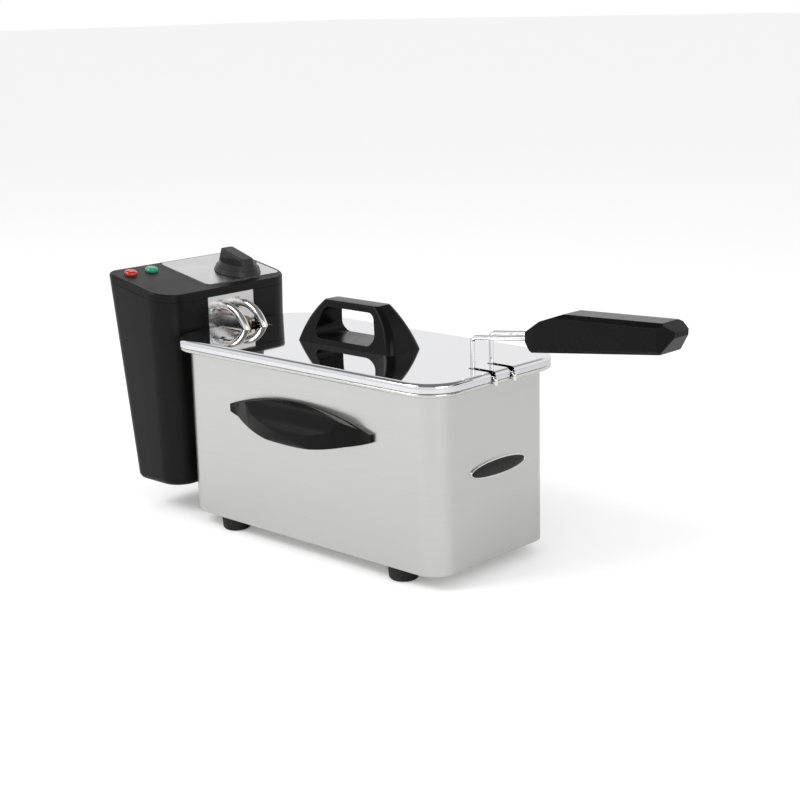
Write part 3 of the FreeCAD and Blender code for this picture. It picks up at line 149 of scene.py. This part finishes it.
def placeGroup(tree, group, **values):
    made = tree.nodes.new("ShaderNodeGroup")
    made.node_tree = group
    for label, value in values.items():
        made.inputs[label].default_value = value
    return made.outputs


def mixColours(tree, amount, first, second):
    made = tree.nodes.new("ShaderNodeMix")
    made.data_type = "RGBA"
    tree.links.new(amount, made.inputs["Factor"])
    for label, value in (("A", first), ("B", second)):
        socket = [s for s in made.inputs if s.name == label and s.type == "RGBA"][0]
        if isinstance(value, tuple):
            socket.default_value = (*value, 1.0)
        else:
            tree.links.new(value, socket)
    return [s for s in made.outputs if s.type == "RGBA"][0]


def spanNode(tree, value, low, high):
    made = tree.nodes.new("ShaderNodeMapRange")
    tree.links.new(value, made.inputs["Value"])
    made.inputs["To Min"].default_value = low
    made.inputs["To Max"].default_value = high
    return made.outputs["Result"]


def bumpNode(tree, height, strength, distance):
    made = tree.nodes.new("ShaderNodeBump")
    tree.links.new(height, made.inputs["Height"])
    made.inputs["Strength"].default_value = strength
    made.inputs["Distance"].default_value = distance
    return made.outputs["Normal"]


# metal: a base colour broken up by brushing and wiping, with the roughness following both
def metalFinish(name, look):
    made, tree, shader = startMaterial(name)
    streak = placeGroup(tree, brushing, Stretch=look["stretch"], Contrast=look["contrast"])["Lines"]
    wiped = placeGroup(tree, patches, Size=look["patchSize"], Contrast=2.2)
    base = mixColours(tree, streak, look["dark"], look["light"])
    stained = mathNode(tree, "MULTIPLY", wiped["Patches"], look["patchTint"])
    base = mixColours(tree, stained, base, look["tint"])
    tree.links.new(base, shader.inputs["Base Color"])
    both = mathNode(tree, "MULTIPLY", mathNode(tree, "ADD", streak, wiped["Patches"]), 0.5)
    rough = spanNode(tree, both, *look["roughness"])
    tree.links.new(rough, shader.inputs["Roughness"])
    tree.links.new(bumpNode(tree, streak, look["bump"], 0.00004), shader.inputs["Normal"])
    shader.inputs["Metallic"].default_value = 1.0
    return made


dustColour = (0.35, 0.34, 0.32)


# plastic and rubber: mould grain as bump, a painted highlight as paler colour along sharp edges, faint
# dust specks and wiped patches
def plasticFinish(name, look):
    made, tree, shader = startMaterial(name)
    wiped = placeGroup(tree, patches, Size=look["patchSize"], Contrast=2.0)
    edgeHighlight = placeGroup(tree, edges, Radius=look["edgeRadius"], Strength=look["edgeStrength"])["Edge"]
    base = mixColours(tree, wiped["Patches"], look["dark"], look["light"])
    # painted highlight: the paler edge colour is mixed in where the sharp-edge mask is strong
    base = mixColours(tree, mathNode(tree, "MULTIPLY", edgeHighlight, look["edgeTint"]), base, look["edge"])
    dusty = mathNode(tree, "MULTIPLY", wiped["Specks"], look["dust"])
    base = mixColours(tree, dusty, base, dustColour)
    tree.links.new(base, shader.inputs["Base Color"])
    tree.links.new(spanNode(tree, wiped["Patches"], *look["roughness"]), shader.inputs["Roughness"])
    height = placeGroup(tree, grain, Size=look["grain"])["Height"]
    tree.links.new(bumpNode(tree, height, look["bump"], 0.00006), shader.inputs["Normal"])
    shader.inputs["Specular IOR Level"].default_value = look["shine"]
    return made


metals = {
    "satinSteel": dict(stretch=(5.0, 5.0, 1100.0), contrast=0.9, dark=(0.56, 0.56, 0.55),
                       light=(0.62, 0.62, 0.61), patchSize=9.0, patchTint=0.10,
                       tint=(0.5, 0.495, 0.48), roughness=(0.26, 0.36), bump=0.10),
    "sheetSteel": dict(stretch=(6.0, 900.0, 900.0), contrast=1.0, dark=(0.46, 0.46, 0.45),
                       light=(0.56, 0.56, 0.55), patchSize=24.0, patchTint=0.2,
                       tint=(0.4, 0.39, 0.37), roughness=(0.3, 0.45), bump=0.15),
    "potSteel": dict(stretch=(8.0, 8.0, 700.0), contrast=0.8, dark=(0.62, 0.62, 0.61),
                     light=(0.7, 0.7, 0.69), patchSize=20.0, patchTint=0.12,
                     tint=(0.55, 0.53, 0.48), roughness=(0.14, 0.24), bump=0.06),
    "mirrorSteel": dict(stretch=(500.0, 9.0, 9.0), contrast=0.35, dark=(0.70, 0.70, 0.715),
                        light=(0.76, 0.76, 0.775), patchSize=14.0, patchTint=0.05,
                        tint=(0.6, 0.59, 0.6), roughness=(0.02, 0.055), bump=0.015),
    "dialSteel": dict(stretch=(900.0, 5.0, 900.0), contrast=1.2, dark=(0.6, 0.6, 0.6),
                      light=(0.74, 0.74, 0.74), patchSize=30.0, patchTint=0.08,
                      tint=(0.6, 0.6, 0.6), roughness=(0.2, 0.34), bump=0.12),
    "chromeWire": dict(stretch=(60.0, 60.0, 60.0), contrast=0.8, dark=(0.7, 0.7, 0.71),
                       light=(0.82, 0.82, 0.83), patchSize=60.0, patchTint=0.1,
                       tint=(0.55, 0.54, 0.52), roughness=(0.05, 0.16), bump=0.02),
    "elementSheath": dict(stretch=(120.0, 120.0, 120.0), contrast=1.0, dark=(0.66, 0.65, 0.64),
                          light=(0.8, 0.79, 0.78), patchSize=40.0, patchTint=0.25,
                          tint=(0.55, 0.48, 0.4), roughness=(0.1, 0.24), bump=0.05),
    "platedScrew": dict(stretch=(400.0, 400.0, 60.0), contrast=1.0, dark=(0.6, 0.6, 0.61),
                        light=(0.78, 0.78, 0.79), patchSize=200.0, patchTint=0.2,
                        tint=(0.45, 0.43, 0.4), roughness=(0.12, 0.3), bump=0.1),
    "plainBrass": dict(stretch=(300.0, 300.0, 40.0), contrast=1.0, dark=(0.6, 0.42, 0.16),
                       light=(0.76, 0.56, 0.26), patchSize=120.0, patchTint=0.3,
                       tint=(0.4, 0.26, 0.1), roughness=(0.2, 0.4), bump=0.1),
    "agedCopper": dict(stretch=(200.0, 200.0, 200.0), contrast=1.0, dark=(0.36, 0.22, 0.16),
                       light=(0.52, 0.34, 0.26), patchSize=150.0, patchTint=0.4,
                       tint=(0.2, 0.12, 0.09), roughness=(0.2, 0.42), bump=0.08),
}
# edge and edgeTint set each finish's painted highlight along sharp edges
plastics = {
    "satinBlack": dict(dark=(0.0035, 0.0034, 0.0034), light=(0.006, 0.0058, 0.0058), patchSize=16.0,
                       edgeRadius=0.0009, edgeStrength=3.0, edgeTint=0.25,
                       edge=(0.06, 0.058, 0.056), dust=0.05, roughness=(0.3, 0.42), grain=1500.0,
                       shine=0.16, bump=0.25),
    "handleBlack": dict(dark=(0.002, 0.0019, 0.0019), light=(0.004, 0.0038, 0.0038), patchSize=26.0,
                        edgeRadius=0.0008, edgeStrength=3.0, edgeTint=0.3,
                        edge=(0.07, 0.066, 0.064), dust=0.04, roughness=(0.2, 0.32), grain=1800.0,
                        shine=0.12, bump=0.15),
    "knobBlack": dict(dark=(0.010, 0.0095, 0.0095), light=(0.017, 0.016, 0.016), patchSize=60.0,
                      edgeRadius=0.0007, edgeStrength=3.0, edgeTint=0.35, edge=(0.1, 0.096, 0.092),
                      dust=0.06, roughness=(0.26, 0.4), grain=2000.0, shine=0.30, bump=0.2),
    "badgeBlack": dict(dark=(0.005, 0.005, 0.0055), light=(0.008, 0.008, 0.009), patchSize=40.0,
                       edgeRadius=0.0004, edgeStrength=2.0, edgeTint=0.2, edge=(0.08, 0.08, 0.08),
                       dust=0.05, roughness=(0.08, 0.16), grain=1200.0, shine=0.25, bump=0.05),
    "darkMoulding": dict(dark=(0.03, 0.03, 0.03), light=(0.05, 0.05, 0.05), patchSize=70.0,
                         edgeRadius=0.0005, edgeStrength=3.0, edgeTint=0.4, edge=(0.16, 0.16, 0.16),
                         dust=0.2, roughness=(0.4, 0.55), grain=1600.0, shine=0.35, bump=0.3),
    "footRubber": dict(dark=(0.012, 0.012, 0.012), light=(0.024, 0.023, 0.022), patchSize=90.0,
                       edgeRadius=0.0008, edgeStrength=3.0, edgeTint=0.5, edge=(0.08, 0.078, 0.075),
                       dust=0.4, roughness=(0.6, 0.8), grain=1300.0, shine=0.20, bump=0.5),
    "leadSleeve": dict(dark=(0.5, 0.46, 0.4), light=(0.66, 0.62, 0.54), patchSize=120.0,
                       edgeRadius=0.0003, edgeStrength=2.0, edgeTint=0.2, edge=(0.8, 0.78, 0.72),
                       dust=0.3, roughness=(0.5, 0.7), grain=2600.0, shine=0.40, bump=0.5),
    "coatedMagnet": dict(dark=(0.05, 0.05, 0.055), light=(0.09, 0.09, 0.1), patchSize=120.0,
                         edgeRadius=0.0005, edgeStrength=3.0, edgeTint=0.6, edge=(0.4, 0.4, 0.42),
                         dust=0.3, roughness=(0.3, 0.45), grain=1500.0, shine=0.50, bump=0.2),
}
finishes = {name: metalFinish(name, look) for name, look in metals.items()}
finishes.update({name: plasticFinish(name, look) for name, look in plastics.items()})


# lamp lenses and button: clear coloured plastic, a little cloudy inside
def lensFinish(name, look):
    made, tree, shader = startMaterial(name)
    wiped = placeGroup(tree, patches, Size=look["patchSize"], Contrast=2.0)
    base = mixColours(tree, wiped["Patches"], look["dark"], look["light"])
    tree.links.new(base, shader.inputs["Base Color"])
    tree.links.new(spanNode(tree, wiped["Patches"], *look["roughness"]), shader.inputs["Roughness"])
    shader.inputs["Transmission Weight"].default_value = look["clear"]
    shader.inputs["Coat Weight"].default_value = 0.4
    shader.inputs["Coat Roughness"].default_value = 0.05
    return made


lenses = {
    "redLens": dict(dark=(0.50, 0.012, 0.012), light=(0.72, 0.03, 0.02), patchSize=150.0,
                    roughness=(0.08, 0.2), clear=0.25),
    "greenLens": dict(dark=(0.012, 0.30, 0.17), light=(0.03, 0.46, 0.27), patchSize=150.0,
                      roughness=(0.08, 0.2), clear=0.25),
    "redButton": dict(dark=(0.42, 0.01, 0.01), light=(0.6, 0.02, 0.015), patchSize=300.0,
                      roughness=(0.25, 0.4), clear=0.0),
    "lampGlass": dict(dark=(0.9, 0.86, 0.8), light=(0.96, 0.93, 0.88), patchSize=200.0,
                      roughness=(0.02, 0.08), clear=0.9),
}
finishes.update({name: lensFinish(name, look) for name, look in lenses.items()})

slotFinish = {
    "satin_steel": "satinSteel", "steel_sheet": "sheetSteel", "pot_steel": "potSteel",
    "lid_steel": "mirrorSteel", "bright_steel": "platedScrew", "wire_chrome": "chromeWire",
    "element_steel": "elementSheath", "terminal_brass": "plainBrass",
    "capillary_copper": "agedCopper", "satin_black": "satinBlack", "gloss_black": "badgeBlack",
    "dark_plastic": "darkMoulding", "foot_rubber": "footRubber", "red_plastic": "redLens",
    "green_plastic": "greenLens", "lamp_glass": "lampGlass", "wire_cover": "leadSleeve",
    "magnet": "coatedMagnet",
}
nodeFinish = {
    "dial_plate": "dialSteel", "thermostat_knob": "knobBlack", "reset_button": "redButton",
    "side_handle_left": "handleBlack", "side_handle_right": "handleBlack", "lid_handle": "handleBlack",
    "basket_grip": "handleBlack", "element_plate": "dialSteel",
}
slotOf = {entry["node"]: entry["material_slot"] for entry in frame["record"]["subparts"]}
bodies = frame["record"]["behaviour"]["bodies"]
bodyOf = {member: body for body, members in bodies.items() for member in members}
for nodeName, piece in nodes.items():
    finish = nodeFinish.get(nodeName, slotFinish[slotOf[nodeName]])
    piece.data.materials.clear()
    piece.data.materials.append(finishes[finish])
print("finishes made:", len(finishes))


# ---- mesh helpers ----

def addObject(name, mesh, body, finish, standsFor=()):
    made = bpy.data.objects.new(name, mesh)
    bpy.context.scene.collection.objects.link(made)
    mesh.materials.clear()
    mesh.materials.append(finishes[finish])
    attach(made, body)
    if standsFor:
        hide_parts(*standsFor)
    return made


# points and quads in whole arrays; smooth below the given edge angle
def meshFrom(name, points, faces, smoothAngle=35.0):
    made = bpy.data.meshes.new(name)
    made.from_pydata(points.reshape(-1, 3).tolist(), [], [f for f in faces])
    made.polygons.foreach_set("use_smooth", np.ones(len(made.polygons), bool))
    made.set_sharp_from_angle(angle=math.radians(smoothAngle))
    made.update()
    return made


# quads of a grid of rows x columns; wrapRows or wrapColumns closes it on itself
def gridFaces(rows, columns, wrapRows=False, wrapColumns=False, first=0):
    i, j = np.meshgrid(np.arange(rows if wrapRows else rows - 1),
                       np.arange(columns if wrapColumns else columns - 1), indexing="ij")
    i2, j2 = (i + 1) % rows, (j + 1) % columns
    quads = np.stack([i * columns + j, i * columns + j2, i2 * columns + j2, i2 * columns + j], -1)
    return (quads.reshape(-1, 4) + first).tolist()


# copy of a CAD surface: doubles merged, flat areas joined, then rounded edges from a bevel
def softened(node, look):
    source = nodes[node]
    mesh = source.data.copy()
    mesh.name = look["name"]
    work = bmesh.new()
    work.from_mesh(mesh)
    bmesh.ops.remove_doubles(work, verts=work.verts, dist=2e-6)
    bmesh.ops.dissolve_limit(work, angle_limit=math.radians(0.4), use_dissolve_boundaries=False,
                             verts=work.verts, edges=work.edges)
    work.to_mesh(mesh)
    work.free()
    mesh.polygons.foreach_set("use_smooth", np.ones(len(mesh.polygons), bool))
    mesh.set_sharp_from_angle(angle=math.radians(look.get("smoothAngle", 30.0)))
    piece = addObject(look["name"], mesh, bodyOf[node], look["finish"], (node,))
    bevel = piece.modifiers.new("roundedEdges", "BEVEL")
    bevel.limit_method = "ANGLE"
    bevel.angle_limit = math.radians(look.get("angle", 24.0))
    bevel.width = look["width"]
    bevel.segments = look.get("segments", 3)
    bevel.use_clamp_overlap = True
    bevel.harden_normals = True
    bevel.miter_outer = "MITER_ARC"
    return piece


# rounded edges on the moulded pieces
softLooks = [
    ("control_front_shell", "frontShellSkin", "satinBlack", 0.0016),
    ("control_rear_cover", "rearCoverSkin", "satinBlack", 0.0016),
    ("side_handle_left", "leftHandleSkin", "handleBlack", 0.0009),
    ("side_handle_right", "rightHandleSkin", "handleBlack", 0.0009),
    ("lid_handle", "lidHandleSkin", "handleBlack", 0.0012),
    ("basket_grip", "gripSkin", "handleBlack", 0.0010),
]
for node, name, finish, width in softLooks:
    softened(node, dict(name=name, finish=finish, width=width, segments=3))
print("rounded copies made:", len(softLooks))


# extents of one CAD node, in metres
def extentOf(node):
    points = np.array([v.co for v in nodes[node].data.vertices])
    return points.min(axis=0), points.max(axis=0)


# ---- badge: a domed black oval inside a thin pale border ----

badgeLook = dict(columns=96, border=1.6 * mm, groove=0.25 * mm, dome=0.8 * mm, domeRows=10,
                 sideInset=0.1 * mm, step=0.4 * mm, bevel=0.3 * mm, rise=0.25 * mm)


# rows of points on concentric ovals across y and z: each row is (inset from the edge, x)
def ovalRows(rows, low, high, columns):
    middle, reach = (low + high) / 2, (high - low) / 2
    angle = np.arange(columns) * 2 * np.pi / columns
    inset, x = np.array(rows).T
    y = middle[1] + (reach[1] - inset)[:, None] * np.cos(angle)
    z = middle[2] + (reach[2] - inset)[:, None] * np.sin(angle)
    return np.stack([np.broadcast_to(x[:, None], y.shape), y, z], -1)


low, high = extentOf("badge_plate")
look = badgeLook
columns = look["columns"]
bevel = look["bevel"]
faceX = high[0]
edgeX = faceX - look["dome"]
inner = look["border"] + look["groove"]
domeReach = (high[2] - low[2]) / 2 - inner
domeProfile = [(look["sideInset"], low[0]), (look["sideInset"], edgeX - look["step"]),
               (inner, edgeX - look["step"])]
# the dome falls from its middle with the square of the distance
for share in np.linspace(0.0, 1.0, look["domeRows"], endpoint=False):
    domeProfile.append((inner + domeReach * 0.999 * share, faceX - look["dome"] * (1 - share) ** 2))
points = ovalRows(domeProfile, low, high, columns)
faces = gridFaces(len(domeProfile), columns, wrapColumns=True)
lastRow = [(len(domeProfile) - 1) * columns + i for i in range(columns)]
faces += [list(range(columns))[::-1], lastRow]
mesh = meshFrom("badgeDome", points, faces, 30.0)
addObject("badgeDome", mesh, bodyOf["badge_plate"], "badgeBlack", ("badge_plate",))
borderTop = edgeX + look["rise"]
borderProfile = [(0.0, low[0] + bevel), (0.0, borderTop - bevel), (bevel, borderTop),
                 (look["border"] - bevel, borderTop), (look["border"], borderTop - bevel),
                 (look["border"], low[0] + bevel)]
points = ovalRows(borderProfile, low, high, columns)
mesh = meshFrom("badgeBorder", points, gridFaces(len(borderProfile), columns, True, True), 30.0)
addObject("badgeBorder", mesh, bodyOf["badge_plate"], "platedScrew")
print("badge made")

# ---- floor, light and camera ----

stageLook = dict(size=60.0, floorColour=0.86, floorGlow=0.22, worldStrength=0.80, ceiling=0.22,
                 ceilingStart=0.5, ceilingFull=0.72, keyPower=14.0, fillPower=5.0)
floorMesh = bpy.data.meshes.new("floor")
half = stageLook["size"] / 2
corners = [(-half, -half, 0), (half, -half, 0), (half, half, 0), (-half, half, 0)]
floorMesh.from_pydata(corners, [], [(0, 1, 2, 3)])
floor = bpy.data.objects.new("floor", floorMesh)
bpy.context.scene.collection.objects.link(floor)
floorFinish, tree, shader = startMaterial("paleFloor")
paper = noiseNode(tree, tree.nodes.new("ShaderNodeTexCoord").outputs["Object"], 40.0)
tint = stageLook["floorColour"]
tree.links.new(mixColours(tree, paper, (tint, tint, tint), (tint * 1.01, tint * 1.01, tint * 1.01)),
               shader.inputs["Base Color"])
shader.inputs["Roughness"].default_value = 0.9
shader.inputs["Emission Color"].default_value = (1.0, 1.0, 1.0, 1.0)
seenFloor = mathNode(tree, "MULTIPLY", tree.nodes.new("ShaderNodeLightPath").outputs["Is Camera Ray"],
                     stageLook["floorGlow"])
tree.links.new(seenFloor, shader.inputs["Emission Strength"])
floorMesh.materials.append(floorFinish)

world = bpy.data.worlds.new("studio")
bpy.context.scene.world = world
world.use_nodes = True
tree = world.node_tree
background = tree.nodes["Background"]
lightPath = tree.nodes.new("ShaderNodeLightPath")
# glossy rays see a pale band near the horizon under a darker ceiling, which gives rims and wires contrast
direction = tree.nodes.new("ShaderNodeSeparateXYZ")
tree.links.new(tree.nodes.new("ShaderNodeTexCoord").outputs["Generated"], direction.inputs[0])
ceiling = tree.nodes.new("ShaderNodeMapRange")
ceiling.interpolation_type = "SMOOTHSTEP"
tree.links.new(direction.outputs["Z"], ceiling.inputs["Value"])
for label, value in (("From Min", stageLook["ceilingStart"]), ("From Max", stageLook["ceilingFull"]),
                     ("To Min", 1.0), ("To Max", stageLook["ceiling"])):
    ceiling.inputs[label].default_value = value
glossy = mathNode(tree, "MULTIPLY", lightPath.outputs["Is Glossy Ray"],
                  mathNode(tree, "SUBTRACT", ceiling.outputs["Result"], stageLook["worldStrength"]))
seen = mathNode(tree, "ADD", lightPath.outputs["Is Camera Ray"],
                lightPath.outputs["Is Transmission Ray"], clamp=True)
gain = mathNode(tree, "MULTIPLY", seen, 1.0 - stageLook["worldStrength"])
total = mathNode(tree, "ADD", mathNode(tree, "ADD", gain, glossy), stageLook["worldStrength"])
tree.links.new(total, background.inputs["Strength"])
background.inputs["Color"].default_value = (1.0, 1.0, 1.0, 1.0)


def addSoftbox(name, place, target, size, power):
    lamp = bpy.data.lights.new(name, "AREA")
    lamp.shape = "RECTANGLE"
    lamp.size, lamp.size_y = size
    lamp.energy = power
    made = bpy.data.objects.new(name, lamp)
    bpy.context.scene.collection.objects.link(made)
    made.location = place
    made.rotation_mode = "QUATERNION"
    made.rotation_quaternion = (Vector(target) - Vector(place)).to_track_quat("-Z", "Y")
    return made


addSoftbox("keyLight", (-0.7, -1.1, 1.3), (0.0, 0.0, 0.1), (0.9, 0.7), stageLook["keyPower"])
addSoftbox("fillLight", (1.3, -0.4, 0.8), (0.0, 0.0, 0.1), (0.8, 0.8), stageLook["fillPower"])

cameraLook = dict(place=(0.82312, -0.85691, 0.40736), azimuth=43.5625, elevation=13.8533,
                  roll=-1.3896, focal=1612.49, width=800)
a, e, roll = (math.radians(cameraLook[key]) for key in ("azimuth", "elevation", "roll"))
back = Vector((math.sin(a) * math.cos(e), -math.cos(a) * math.cos(e), math.sin(e)))
right = Vector((math.cos(a), math.sin(a), 0.0))
up = back.cross(right)
turnedRight = right * math.cos(roll) + up * math.sin(roll)
turnedUp = up * math.cos(roll) - right * math.sin(roll)
lens = bpy.data.cameras.new("camera")
lens.sensor_width = 36.0
lens.lens = lens.sensor_width * cameraLook["focal"] / cameraLook["width"]
lens.clip_start = 0.05
camera = bpy.data.objects.new("camera", lens)
bpy.context.scene.collection.objects.link(camera)
camera.matrix_world = Matrix.Translation(cameraLook["place"]) @ Matrix(
    (turnedRight, turnedUp, back)).transposed().to_4x4()
bpy.context.scene.camera = camera
bpy.context.scene.view_settings.view_transform = "Standard"
print("stage set")

bpy.context.view_layer.update()
